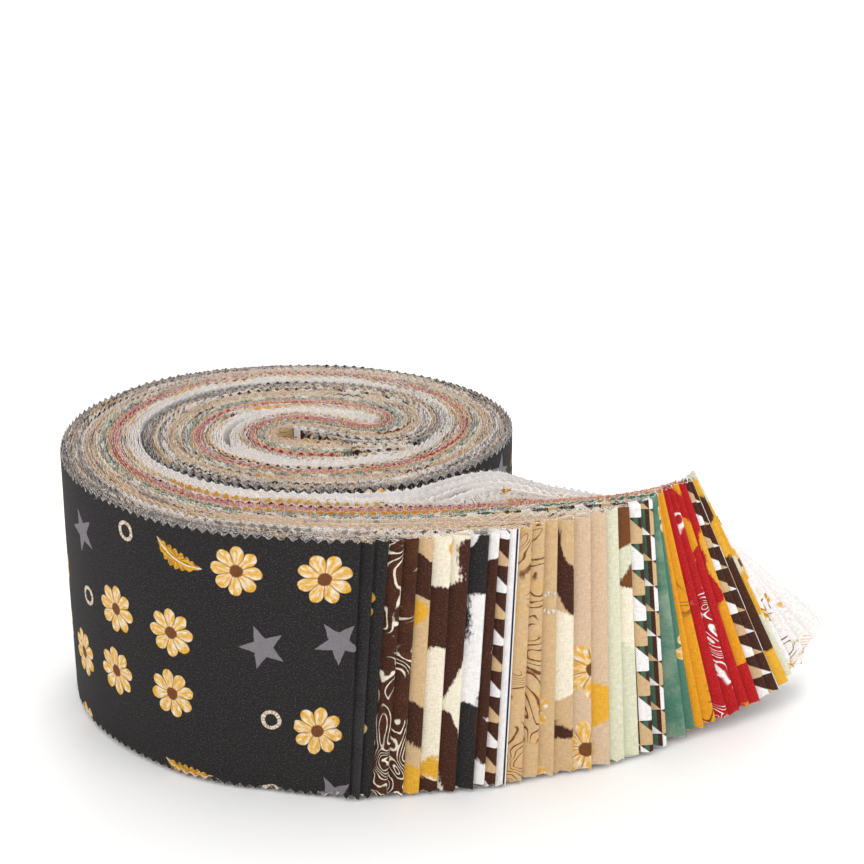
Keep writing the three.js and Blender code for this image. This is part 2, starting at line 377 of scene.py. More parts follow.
def crown_at(x, y):
    inside = smoothstep(RIM_RADIUS - np.hypot(x, y), 0, RIM_SLOPE)
    return CROWN * (1 + y / RIM_RADIUS) * inside


def wound_plan(places, strip):
    """Plan place of a strip's outer face along the winding."""
    place, heading = winding_at(places)
    side = "outer" if strip < PATH_STRIP else "inner"
    pitch = np.interp(places, np.arange(len(WINDING)), column(WINDING, WINDING_COLUMNS, side))
    on_path = PATH_STRIP
    if strip > DOUBLED_STRIP:
        on_path = np.interp(places, DOUBLED_ROWS, (DOUBLED_STRIP, PATH_STRIP))
    offset = (on_path - strip) * pitch
    outwards = np.column_stack([np.sin(heading), -np.cos(heading)])
    return place + offset[:, None] * outwards, heading


def end_corners(strip, width):
    """Lower and upper corner of a strip's end, and its heading."""
    numbers = column(ENDS, END_COLUMNS, "strip")
    row = {name: np.interp(strip, numbers, column(ENDS, END_COLUMNS, name)) for name in END_COLUMNS}
    tilt = math.radians(row["tilt"])
    lean = math.radians(row["lean"])
    lower = np.array([row["x"], row["y"], row["lift"]])
    across = math.cos(tilt)
    edge = np.array([-math.sin(tilt), -across * math.sin(lean), across * math.cos(lean)])
    return lower, lower + width * edge, math.radians(row["heading"])


def hermite(a, b, slope_a, slope_b, t):
    t2 = t * t
    t3 = t2 * t
    return (
        a * (2 * t3 - 3 * t2 + 1)
        + b * (3 * t2 - 2 * t3)
        + slope_a * (t3 - 2 * t2 + t)
        + slope_b * (t3 - t2)
    )


def tail_points(strip, t, width):
    """Lower and upper edge of a strip's tail, t running from its root to its end."""
    root, root_heading = wound_plan(np.array([len(WINDING) - 1.0]), strip)
    root = root[0]
    root_way = np.array([math.cos(root_heading[0]), math.sin(root_heading[0])])
    lower, upper, heading = end_corners(strip, width)
    end_way = np.array([math.cos(heading), math.sin(heading)])
    edges = []
    for end in (lower, upper):
        reach = np.linalg.norm(end[:2] - root)
        upright = np.clip((strip - FIRST_UPRIGHT) / (STRIP_COUNT - FIRST_UPRIGHT), 0, 1)
        along = t if end is lower else t * (1 + UPRIGHT_GAIN * upright * (1 - t))
        plan = hermite(root, end[:2], reach * root_way, reach * end_way, along[:, None])
        if end is lower:
            climb = np.maximum(0, 1 - (1 - t) * reach / LIFT_SPAN)
            height = end[2] * climb**LIFT_POWER
        else:
            root_height = width + crown_at(*root)
            fallen = smoothstep(along, UPRIGHT_DELAY * upright, 1)
            height = root_height + (end[2] - root_height) * fallen
        edges.append(np.column_stack([plan, height]))
    return edges


def spring_back(number, x):
    """How far a strip stands back from where it was wound, at places from left to right."""
    places = column(SPRING, SPRING_COLUMNS, "x")
    fine = np.arange(places[0] - SPRING_SMOOTHING, places[-1] + SPRING_SMOOTHING, SPRING_STEP)
    shift = np.interp(fine, places, column(SPRING, SPRING_COLUMNS, "shift"))
    spread = np.interp(fine, places, column(SPRING, SPRING_COLUMNS, "spread"))
    shift *= np.maximum(0, 1 - (STRIP_COUNT - number) / spread)
    window = np.hanning(2 * SPRING_SMOOTHING + 1)
    return np.interp(x, fine, np.convolve(shift, window / window.sum(), mode="same"))


def tail_until(strip, edge, corner, heading, width):
    """How far along its tail an edge of a strip comes level with a corner."""
    way = np.array([math.cos(heading), math.sin(heading)])
    low, high = 0.0, 1.3
    for _ in range(30):
        middle = (low + high) / 2
        place = tail_points(strip, np.array([middle]), width)[edge][0]
        if (place[:2] - corner[:2]) @ way < 0:
            low = middle
        else:
            high = middle
    return low


WINDING_STATIONS = 16
TAIL_STATIONS = 60


def boundary(strip, number, width):
    """Lower and upper edge of the face at a strip's boundary, up to the end of strip number."""
    places = np.linspace(0, len(WINDING) - 1, (len(WINDING) - 1) * WINDING_STATIONS + 1)
    plan, _ = wound_plan(places, strip)
    crown = crown_at(plan[:, 0], plan[:, 1])
    corner_low, corner_high, heading = end_corners(number, width)
    t = np.linspace(0, 1, TAIL_STATIONS + 1)[1:]
    edges = []
    for edge, corner in enumerate((corner_low, corner_high)):
        until = tail_until(strip, edge, corner, heading, width)
        tail = tail_points(strip, t * until, width)[edge]
        wound_height = crown + edge * width
        lifted = np.column_stack([plan, wound_height])
        if edge == 0:
            tail[:, 2] += crown[-1] * (1 - smoothstep(t, 0, CROWN_ENDS))
        edges.append(np.vstack([lifted, tail]))
    return edges


def unit(vectors):
    return vectors / np.linalg.norm(vectors, axis=-1, keepdims=True)


class FoldedStrip:
    """The middle surface of one folded strip, from the core to its fold, in millimetres."""

    def __init__(self, number, width, half_length):
        outer = boundary(number, number, width)
        inner = boundary(number + 1, number, width)
        lower, upper = ((a + b) / 2 for a, b in zip(outer, inner))
        sprung = (len(WINDING) - 1 - SPRING_ROWS) * WINDING_STATIONS
        for edge in (lower, upper):
            edge[sprung:, 1] += spring_back(number, edge[sprung:, 0])
        middle = (lower + upper) / 2
        steps = np.linalg.norm(np.diff(middle, axis=0), axis=1)
        along = np.concatenate([[0], np.cumsum(steps)])
        up = unit(upper - lower)
        ways = [unit(np.gradient(edge, along, axis=0)) for edge in (lower, upper)]
        normals = [unit(np.cross(way, up)) for way in ways]
        between = [np.abs(((a - b) * n).sum(axis=1)) for a, b, n in zip(outer, inner, normals)]
        self.pitch = np.minimum(between[0], between[1])
        numbers, rows = (column(BEGINNINGS, BEGINNING_COLUMNS, name) for name in BEGINNING_COLUMNS)
        beginning = along[round(np.interp(number, numbers, rows) * WINDING_STATIONS)]
        self.start = max(beginning, along[-1] - LONGEST * half_length)
        self.along = along
        self.length = along[-1] - self.start
        self.lower, self.upper = lower, upper
        self.ways, self.normals = ways, normals

    def at(self, values, distance):
        """Values at distances from the strip's fold back towards the core."""
        place = self.along[-1] - distance
        if values.ndim == 1:
            return np.interp(place, self.along, values)
        return np.column_stack([np.interp(place, self.along, values[:, i]) for i in range(3)])


def slow_noise(rng, places, period):
    """Smooth noise along the strip, about one swing to a period, from -1 to 1."""
    count = int(np.ceil(places.max() / period)) + 2
    values = rng.uniform(-1, 1, count)
    place = places / period
    low = np.floor(place).astype(int)
    t = place - low
    t = t * t * (3 - 2 * t)
    return values[low] * (1 - t) + values[low + 1] * t


# The two layers lie at this share of the room on each side of the strip's middle, and open to the
# fold's share near it. A layer is never thicker than the pressed share of its distance from there.
FOLD_STEPS = 5
LAYER_SHARE = 0.25
FOLD_SHARE = 0.40
FOLD_OPENS_OVER = 9.0
FOLD_SWELLS_OVER = 2.8
PRESSED_SHARE = 0.42

# The frayed zone along a cut edge, and the rows of points between two of them.
FRAY_ZONE = 1.6
OUTERMOST_ROWS = 8
OTHER_ROWS = 2

# How a strip wanders up and down: share of the unevenness, and length of a swing. Near its fold it
# is a little calmer.
DRIFTS = ((0.8, 60), (0.4, 9))
FOLD_CALMS = 0.18
CALM_OVER = 40

# How the cut edges lean out of line, tooth by tooth and in waves.
TOOTH_LEAN = 0.12
WAVE_LEAN = 0.10
WAVE_LEAN_SWING = 4

# The outermost face isn't quite even: it stands out in slanting waves.
FACE_WAVE = 0.15
FACE_WAVE_SWING = 45
FACE_WAVE_SLANT = 6
FACE_WAVE_SEED = 90
SHARP_ANGLE = 50


def cloth_rows(number, width):
    """Heights across a strip: its cut edges, the frayed zones and, on the outermost, more."""
    rows = OUTERMOST_ROWS if number == 1 else OTHER_ROWS
    inner = np.linspace(FRAY_ZONE, width - FRAY_ZONE, rows)
    return np.concatenate([[0], inner, [width]])


def folded_cloth(number, sizes):
    """Points of one folded strip and what its shader needs, section by section.

    A section runs up the face with the print and down the reverse.
    """
    width = sizes.strip_width / MM
    pitch = sizes.tooth_pitch / MM
    rng = np.random.default_rng(number)
    strip = FoldedStrip(number, width, sizes.strip_length / MM / 2)
    most, least = sizes.fold_room / MM, sizes.least_fold_room / MM
    fold_radius = FOLD_SHARE * np.clip(strip.pitch[-1], least, most)
    bend = math.pi * fold_radius
    run = strip.length - fold_radius
    count = int(run / (pitch / 2))
    there = np.arange(count) * pitch / 2
    angles = np.linspace(0, math.pi, FOLD_STEPS)
    # u is the place along the cloth, from the outer layer's inner end round the fold and back.
    u = np.concatenate([there, run + bend * angles / math.pi, 2 * run + bend - there[::-1]])
    back = np.concatenate([run - there, np.zeros(FOLD_STEPS), (run - there)[::-1]]) + fold_radius
    angle = np.concatenate([np.zeros(count), angles, np.full(count, math.pi)])
    outwards = np.cos(angle)[:, None]
    onwards = np.sin(angle)[:, None]

    room = np.minimum(strip.at(strip.pitch, back), most)
    squeezed = np.maximum(0, least - room) * (1 - smoothstep(back, 0, FOLD_SWELLS_OVER))
    room += squeezed
    opening = LAYER_SHARE + (FOLD_SHARE - LAYER_SHARE) * (1 - smoothstep(back, 0, FOLD_OPENS_OVER))
    spread = (opening * room)[:, None]
    half = np.minimum(sizes.cloth_thickness / MM / 2, PRESSED_SHARE * spread[:, 0])[:, None]

    phase = rng.uniform(0, 1)
    tooth = np.abs(((u / pitch + phase) % 1) * 2 - 1)
    bottom_phase = rng.uniform(0, 1)
    bottom_tooth = np.abs(((u / pitch + bottom_phase) % 1) * 2 - 1)
    depth = sizes.tooth_depth / MM
    drift = rng.uniform(-1, 1)
    for amount, swing in DRIFTS:
        drift = drift + amount * slow_noise(rng, u, swing)
    drift = drift * sizes.unevenness / MM
    drift -= drift.min()
    drift *= 1 - FOLD_CALMS * (1 - smoothstep(back, 0, CALM_OVER))

    lower, upper = (strip.at(edge, back) for edge in (strip.lower, strip.upper))
    low_normal, high_normal = (strip.at(normals, back) for normals in strip.normals)
    low_way, high_way = (strip.at(ways, back) for ways in strip.ways)
    up = unit(upper - lower)
    rows = cloth_rows(number, width)
    surface, reverse = [], []
    for i, height in enumerate(rows):
        share = height / width
        normal = unit(low_normal * (1 - share) + high_normal * share)
        way = unit(low_way * (1 - share) + high_way * share)
        place = lower + up * height
        if i == 0:
            place += up * (depth * bottom_tooth)[:, None]
        if i == len(rows) - 1:
            place -= up * (depth * tooth)[:, None]
        place += up * drift[:, None]
        lean = 0.0
        if i in (0, len(rows) - 1):
            lean = TOOTH_LEAN * rng.uniform(-1, 1, len(u))
            lean += WAVE_LEAN * slow_noise(rng, u, WAVE_LEAN_SWING)
        bulge = 0.0
        if number == 1 and 0 < i < len(rows) - 1:
            same = np.random.default_rng(FACE_WAVE_SEED)
            wave = slow_noise(same, back + FACE_WAVE_SLANT * share, FACE_WAVE_SWING)
            bulge = FACE_WAVE * (1 + wave) * math.sin(math.pi * share)
        facing = outwards * normal + onwards * way
        centre = place + spread * facing + (lean + bulge + squeezed / 2)[:, None] * normal
        surface.append(centre + half * facing)
        reverse.append(centre - half * facing)
    points = np.stack(surface + reverse[::-1], axis=1)
    heights = np.concatenate([rows, rows[::-1]])
    near = np.array([1.0] + [0.0] * (len(rows) - 2) + [1.0])
    nearness = np.concatenate([near, near[::-1]])
    face = np.concatenate([np.ones(len(rows)), np.zeros(len(rows))])
    return {"points": points, "u": u, "heights": heights, "near": nearness, "face": face}


def plan_shift():
    """How far the frame's origin lies from the middle of the roll, in millimetres."""
    low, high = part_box("wound_strips")
    places = np.linspace(0, len(WINDING) - 1, (len(WINDING) - 1) * 4 + 1)
    plan, _ = wound_plan(places, 1)
    return np.array([low.x / MM - plan[:, 0].min(), high.y / MM - plan[:, 1].max(), 0.0])


def new_mesh(name, points, faces, cloth, edge):
    """A mesh object from points in millimetres, with the cloth and edge maps."""
    mesh = bpy.data.meshes.new(name)
    mesh.from_pydata((points * MM).tolist(), [], faces.tolist())
    corners = np.zeros(len(mesh.loops), np.int32)
    mesh.loops.foreach_get("vertex_index", corners)
    for map_name, values in (("cloth", cloth), ("edge", edge)):
        layer = mesh.uv_layers.new(name=map_name)
        layer.uv.foreach_set("vector", values[corners].astype(np.float32).ravel())
    mesh.polygons.foreach_set("use_smooth", np.ones(len(mesh.polygons), bool))
    piece = bpy.data.objects.new(name, mesh)
    bpy.context.scene.collection.objects.link(piece)
    return piece


def band_faces(stations, across):
    """Quads of a closed band of sections, with its two ends."""
    i, j = np.meshgrid(np.arange(stations - 1), np.arange(across), indexing="ij")
    a = (i * across + j).ravel()
    b = (i * across + (j + 1) % across).ravel()
    sides = np.column_stack([a, b, b + across, a + across])
    low = np.arange(across // 2 - 1)
    last = (stations - 1) * across
    start = np.column_stack([low, across - 1 - low, across - 2 - low, low + 1])
    end = last + np.column_stack([low, low + 1, across - 2 - low, across - 1 - low])
    return np.vstack([sides, start, end])


def cloth_maps(u, heights, near, face):
    """The cloth map, in metres along and up the strip, and the edge map, near the cut and face."""
    along, up = np.meshgrid(u * MM, heights * MM, indexing="ij")
    cloth = np.column_stack([along.ravel(), up.ravel()])
    edge = np.tile(np.column_stack([near, face]), (len(u), 1))
    return cloth, edge


def strip_name(number):
    return f"strip_{number:02d}"


def build_strip(number, sizes, shift):
    parts = folded_cloth(number, sizes)
    stations, across, _ = parts["points"].shape
    cloth, edge = cloth_maps(parts["u"], parts["heights"], parts["near"], parts["face"])
    points = parts["points"].reshape(-1, 3) + shift
    piece = new_mesh(strip_name(number), points, band_faces(stations, across), cloth, edge)
    piece.data.set_sharp_from_angle(angle=math.radians(SHARP_ANGLE))
    return piece


# The tufts of fibres vary in length and rise, spread out of the strip and along it, and twist.
# Their roots sink into the cloth, and they are undyed to some degree, more so at their tips. The
# few at the lower edge hang a little.
TUFT_SEEDS = 1000
TUFT_LENGTHS = (0.35, 1.5)
TUFT_RISES = (0.3, 1.0)
TUFT_SPREADS = (0.55, 0.5)
TUFT_TWIST = 0.8
TUFT_SINKS = 0.15
TUFT_UNDYED = (0.65, 1.25)
TIP_UNDYED = 0.3
LOWER_RISE = -0.35
LOWER_TUFTS = 1
LEAST_HEIGHT = 0.02


def build_fray(number, sizes, shift):
    """Tufts of loose fibres along the cut edges of one strip, a triangle to a tuft."""
    parts = folded_cloth(number, sizes)
    points = parts["points"]
    half = points.shape[1] // 2
    rng = np.random.default_rng(TUFT_SEEDS + number)
    corners, cloth, edge_map = [], [], []
    upper_edge = (half - 1, half, 1, sizes.fray_tufts)
    lower_edge = (0, 2 * half - 1, LOWER_RISE, LOWER_TUFTS)
    for front, back, upwards, tufts in (upper_edge, lower_edge):
        edge = (points[:, front] + points[:, back]) / 2
        facing = unit(points[:, front] - points[:, back])
        for _ in range(tufts):
            t = rng.uniform(0, 1, len(edge) - 1)[:, None]
            root = edge[:-1] * (1 - t) + edge[1:] * t
            way = unit(np.diff(edge, axis=0))
            out = facing[:-1]
            reach = (sizes.fray_length / MM) * rng.uniform(*TUFT_LENGTHS, (len(t), 1))
            spread_out, spread_along = (rng.normal(0, spread, (len(t), 1)) for spread in TUFT_SPREADS)
            rise = np.array([0, 0, 1.0]) * upwards * rng.uniform(*TUFT_RISES, (len(t), 1))
            tip = root + reach * unit(spread_out * out + spread_along * way + rise)
            twisted = unit(way + rng.normal(0, TUFT_TWIST, (len(t), 1)) * out)
            across = twisted * sizes.fray_width / MM / 2
            sink = -TUFT_SINKS * upwards * np.array([0, 0, 1.0])
            corners.append(np.stack([root - across + sink, root + across + sink, tip], axis=1))
            u = parts["u"][:-1, None] * (1 - t) + parts["u"][1:, None] * t
            height = parts["heights"][front]
            cloth.append(np.repeat(np.column_stack([u, np.full(len(t), height)]), 3, axis=0))
            near = rng.uniform(*TUFT_UNDYED, len(t))
            ends = np.stack([near, near, near + TIP_UNDYED], axis=1).ravel()
            edge_map.append(np.column_stack([ends, np.ones(len(ends))]))
    points = np.concatenate(corners).reshape(-1, 3)
    points[:, 2] = np.maximum(points[:, 2], LEAST_HEIGHT)
    cloth = np.concatenate(cloth) * MM
    faces = np.arange(len(points)).reshape(-1, 3)
    return new_mesh(f"{strip_name(number)}_fray", points + shift, faces, cloth, np.concatenate(edge_map))


# The finishes: node groups for the weave, the fray and each kind of print


def linear(colour):
    """A daylight colour as the shader wants it, with an alpha of 1."""
    parts = [c / 12.92 if c <= 0.04045 else ((c + 0.055) / 1.055) ** 2.4 for c in colour]
    return (*parts, 1.0)


def add(tree, kind, *values, **settings):
    """A node of that kind, its inputs in turn set from values or linked from sockets."""
    node = tree.nodes.new(kind)
    for name, setting in settings.items():
        setattr(node, name, setting)
    sockets = [s for s in node.inputs if s.enabled and not s.is_unavailable]
    for socket, value in zip(sockets, values):
        if value is None:
            continue
        if isinstance(value, bpy.types.NodeSocket):
            tree.links.new(value, socket)
        else:
            socket.default_value = value
    return node


def maths(tree, operation, *values):
    return add(tree, "ShaderNodeMath", *values, operation=operation).outputs[0]


def vector_maths(tree, operation, *values):
    return add(tree, "ShaderNodeVectorMath", *values, operation=operation).outputs[0]


def rest(tree, value):
    """What is left of one."""
    return maths(tree, "SUBTRACT", 1.0, value)


def difference(tree, value, less):
    return maths(tree, "SUBTRACT", value, less)


def product(tree, value, by):
    return maths(tree, "MULTIPLY", value, by)


def stretched(tree, vector, x, y):
    return vector_maths(tree, "MULTIPLY", vector, (x, y, 1.0))


def ramp(tree, value, low, high):
    """A smooth step from 0 at low to 1 at high."""
    return add(
        tree, "ShaderNodeMapRange", value, low, high, 0.0, 1.0, interpolation_type="SMOOTHSTEP"
    ).outputs[0]


def blend(tree, share, first, second, kind="MIX"):
    node = tree.nodes.new("ShaderNodeMix")
    node.data_type = "RGBA"
    node.blend_type = kind
    for socket, value in ((node.inputs[0], share), (node.inputs[6], first), (node.inputs[7], second)):
        if isinstance(value, bpy.types.NodeSocket):
            tree.links.new(value, socket)
        else:
            socket.default_value = value
    return node.outputs[2]


def noise(tree, place, scale, detail=2.0, roughness=0.5, distortion=0.0):
    node = tree.nodes.new("ShaderNodeTexNoise")
    node.noise_dimensions = "3D"
    tree.links.new(place, node.inputs["Vector"])
    node.inputs["Detail"].default_value = detail
    node.inputs["Roughness"].default_value = roughness
    node.inputs["Distortion"].default_value = distortion
    if isinstance(scale, bpy.types.NodeSocket):
        tree.links.new(scale, node.inputs["Scale"])
    else:
        node.inputs["Scale"].default_value = scale
    return node.outputs[0]


def new_group(name, inputs, outputs):
    """An empty node group with its sockets, and its input sockets by name."""
    tree = bpy.data.node_groups.new(name, "ShaderNodeTree")
    for socket_name, kind, default in inputs:
        socket = tree.interface.new_socket(socket_name, in_out="INPUT", socket_type=kind)
        if default is not None:
            socket.default_value = default
    for socket_name, kind in outputs:
        tree.interface.new_socket(socket_name, in_out="OUTPUT", socket_type=kind)
    given = tree.nodes.new("NodeGroupInput").outputs
    result = tree.nodes.new("NodeGroupOutput").inputs
    return tree, given, result


FLOAT = "NodeSocketFloat"
COLOUR = "NodeSocketColor"
VECTOR = "NodeSocketVector"
PALE = (0.8, 0.8, 0.8, 1.0)


def split(tree, vector):
    return add(tree, "ShaderNodeSeparateXYZ", vector).outputs


def joined(tree, x, y, z=0.0):
    return add(tree, "ShaderNodeCombineXYZ", x, y, z).outputs[0]


CUT_STEPS = (0.117, 0.0431)


def shifted(tree, given):
    """The cloth map moved to where this strip was cut from its cloth."""
    move = joined(tree, *(product(tree, given["Cut"], metres) for metres in CUT_STEPS))
    return vector_maths(tree, "ADD", given["Cloth"], move)


def make_weave():
    """Threads one over the other, uneven along their length, with loose lint on the surface."""
    tree, given, result = new_group(
        "Quilting cotton weave",
        [("Cloth", VECTOR, None), ("Thread", FLOAT, 0.00056), ("Slub", FLOAT, 0.45)],
        [("Shade", FLOAT), ("Height", FLOAT), ("Lint", FLOAT)],
    )
    turns = maths(tree, "DIVIDE", 2 * math.pi, given["Thread"])
    x, y, _ = split(tree, given["Cloth"])
    warp = maths(tree, "SINE", product(tree, x, turns))
    weft = maths(tree, "SINE", product(tree, y, turns))
    cross = product(tree, warp, weft)
    slender = stretched(tree, given["Cloth"], 700.0, 2600.0)
    upright = stretched(tree, given["Cloth"], 2600.0, 700.0)
    slubs = maths(tree, "ADD", noise(tree, slender, 1.0), noise(tree, upright, 1.0))
    slubs = difference(tree, slubs, 1.0)
    uneven = product(tree, slubs, given["Slub"])
    level = maths(tree, "ADD", uneven, 0.96)
    tree.links.new(maths(tree, "MULTIPLY_ADD", cross, 0.22, level), result["Shade"])
    tree.links.new(maths(tree, "MULTIPLY_ADD", cross, 0.5, slubs), result["Height"])
    specks = noise(tree, given["Cloth"], 2900.0, 1.0, 0.6)
    tree.links.new(ramp(tree, specks, 0.50, 0.80), result["Lint"])
    return tree


def make_fray():
    """Where the cloth takes the colour of bare fibres: at its cut edges, in a tangle, and on its
    reverse. On white strips that colour at the cut edges is also a painted shade between the teeth.
    """
    tree, given, result = new_group(
        "Pinked edge fray",
        [("Cloth", VECTOR, None), ("Edge", VECTOR, None), ("Reach", FLOAT, 0.08)],
        [("Fray", FLOAT), ("Reverse", FLOAT)],
    )
    near, face, _ = split(tree, given["Edge"])
    tangle = noise(tree, stretched(tree, given["Cloth"], 1900.0, 900.0), 1.0, 3.0, 0.65)
    level = maths(tree, "ADD", near, maths(tree, "MULTIPLY_ADD", tangle, 1.2, -0.6))
    start = rest(tree, given["Reach"])
    rise = maths(tree, "DIVIDE", difference(tree, level, start), 0.2)
    tree.links.new(add(tree, "ShaderNodeClamp", rise, 0.0, 1.0).outputs[0], result["Fray"])
    tree.links.new(rest(tree, ramp(tree, face, 0.3, 0.7)), result["Reverse"])
    return tree


PRINT_INPUTS = [
    ("Cloth", VECTOR, None),
    ("Cut", FLOAT, 0.0),
    ("Size", FLOAT, 0.025),
    ("Cover", FLOAT, 0.4),
    ("Ground", COLOUR, PALE),
    ("Main", COLOUR, PALE),
    ("Second", COLOUR, PALE),
]


def make_solid_print():
    """One colour with faint clouds of another."""
    tree, given, result = new_group("Mottled solid", PRINT_INPUTS, [("Color", COLOUR)])
    place = shifted(tree, given)
    cloud = noise(tree, place, maths(tree, "DIVIDE", 1.0, given["Size"]), 5.0, 0.6)
    share = product(tree, ramp(tree, cloud, 0.4, 0.7), given["Cover"])
    tree.links.new(blend(tree, share, given["Ground"], given["Main"]), result["Color"])
    return tree


def make_hide_print():
    """Large patches in two colours, with a short-haired outline."""
    tree, given, result = new_group("Hide patches", PRINT_INPUTS, [("Color", COLOUR)])
    place = shifted(tree, given)
    scale = maths(tree, "DIVIDE", 1.0, given["Size"])
    hairs = noise(tree, stretched(tree, place, 2200.0, 900.0), 1.0, 2.0)
    soften = maths(tree, "MULTIPLY_ADD", hairs, 0.036, -0.018)
    patches = maths(tree, "ADD", noise(tree, place, scale, 1.5, 0.45, 0.5), soften)
    level = maths(tree, "MULTIPLY_ADD", given["Cover"], -0.34, 0.65)
    main = ramp(tree, difference(tree, patches, level), -0.008, 0.008)
    elsewhere = vector_maths(tree, "ADD", place, (0.37, 0.21, 0.5))
    more = maths(tree, "ADD", noise(tree, elsewhere, scale, 1.5, 0.45, 0.5), soften)
    second = ramp(tree, more, 0.617, 0.633)
    colour = blend(tree, main, given["Ground"], given["Main"])
    tree.links.new(blend(tree, second, colour, given["Second"]), result["Color"])
    return tree


def make_triangle_print():
    """Squares split along a diagonal, dark on one side and light in turns on the other."""
    inputs = PRINT_INPUTS + [("Stripe", COLOUR, PALE)]
    tree, given, result = new_group("Half-square triangles", inputs, [("Color", COLOUR)])
    place = shifted(tree, given)
    tiles = vector_maths(tree, "DIVIDE", place, joined(tree, given["Size"], given["Size"], 1.0))
    column_of, row_of, _ = split(tree, vector_maths(tree, "FLOOR", tiles))
    x, y, _ = split(tree, vector_maths(tree, "FRACTION", tiles))
    dark = ramp(tree, maths(tree, "ADD", x, y), 0.97, 1.03)
    other = maths(tree, "PINGPONG", maths(tree, "ADD", column_of, row_of), 1.0)
    light = blend(tree, other, given["Ground"], given["Second"])
    stripes = maths(tree, "PINGPONG", product(tree, x, 4.0), 1.0)
    striped = product(tree, ramp(tree, stripes, 0.55, 0.75), given["Cover"])
    ink = blend(tree, striped, given["Main"], given["Stripe"])
    tree.links.new(blend(tree, dark, light, ink), result["Color"])
    return tree


def make_stripe_print():
    """Narrow stripes across the strip, one to a repeat."""
    tree, given, result = new_group("Narrow stripes", PRINT_INPUTS, [("Color", COLOUR)])
    x, _, _ = split(tree, shifted(tree, given))
    repeat = maths(tree, "FRACT", maths(tree, "DIVIDE", x, given["Size"]))
    off_line = maths(tree, "ABSOLUTE", difference(tree, repeat, 0.5))
    half = product(tree, given["Cover"], 0.5)
    share = rest(tree, ramp(tree, difference(tree, off_line, half), -0.01, 0.01))
    tree.links.new(blend(tree, share, given["Ground"], given["Main"]), result["Color"])
    return tree


def make_sketch_print():
    """Clusters of fine wandering lines, like pen strokes, over a mottled ground."""
    tree, given, result = new_group("Line sketches", PRINT_INPUTS, [("Color", COLOUR)])
    place = shifted(tree, given)
    scale = maths(tree, "DIVIDE", 1.0, given["Size"])
    swirl = noise(tree, place, scale, 1.5, 0.45, 1.1)
    lines = maths(tree, "PINGPONG", product(tree, swirl, 17.0), 0.5)
    broken = noise(tree, stretched(tree, place, 900.0, 500.0), 1.0, 2.0)
    width = product(tree, broken, 0.22)
    off_line = difference(tree, lines, width)
    ink = rest(tree, ramp(tree, off_line, -0.05, 0.05))
    elsewhere = vector_maths(tree, "ADD", place, (0.9, 0.3, 0.1))
    clusters = noise(tree, elsewhere, product(tree, scale, 0.9), 2.0)
    level = maths(tree, "MULTIPLY_ADD", given["Cover"], -0.4, 0.66)
    where = ramp(tree, difference(tree, clusters, level), -0.01, 0.03)
    washed = noise(tree, place, product(tree, scale, 3.0), 4.0, 0.65)
    wash = product(tree, ramp(tree, washed, 0.42, 0.72), 0.30)
    ground = blend(tree, wash, given["Ground"], given["Second"])
    tree.links.new(blend(tree, product(tree, ink, where), ground, given["Main"]), result["Color"])
    return tree


def turned(tree, vector, angle):
    node = tree.nodes.new("ShaderNodeVectorRotate")
    node.rotation_type = "Z_AXIS"
    tree.links.new(vector, node.inputs["Vector"])
    tree.links.new(angle, node.inputs["Angle"])
    return node.outputs[0]


def between(tree, value, low, high):
    return product(
        tree, maths(tree, "GREATER_THAN", value, low), maths(tree, "LESS_THAN", value, high)
    )


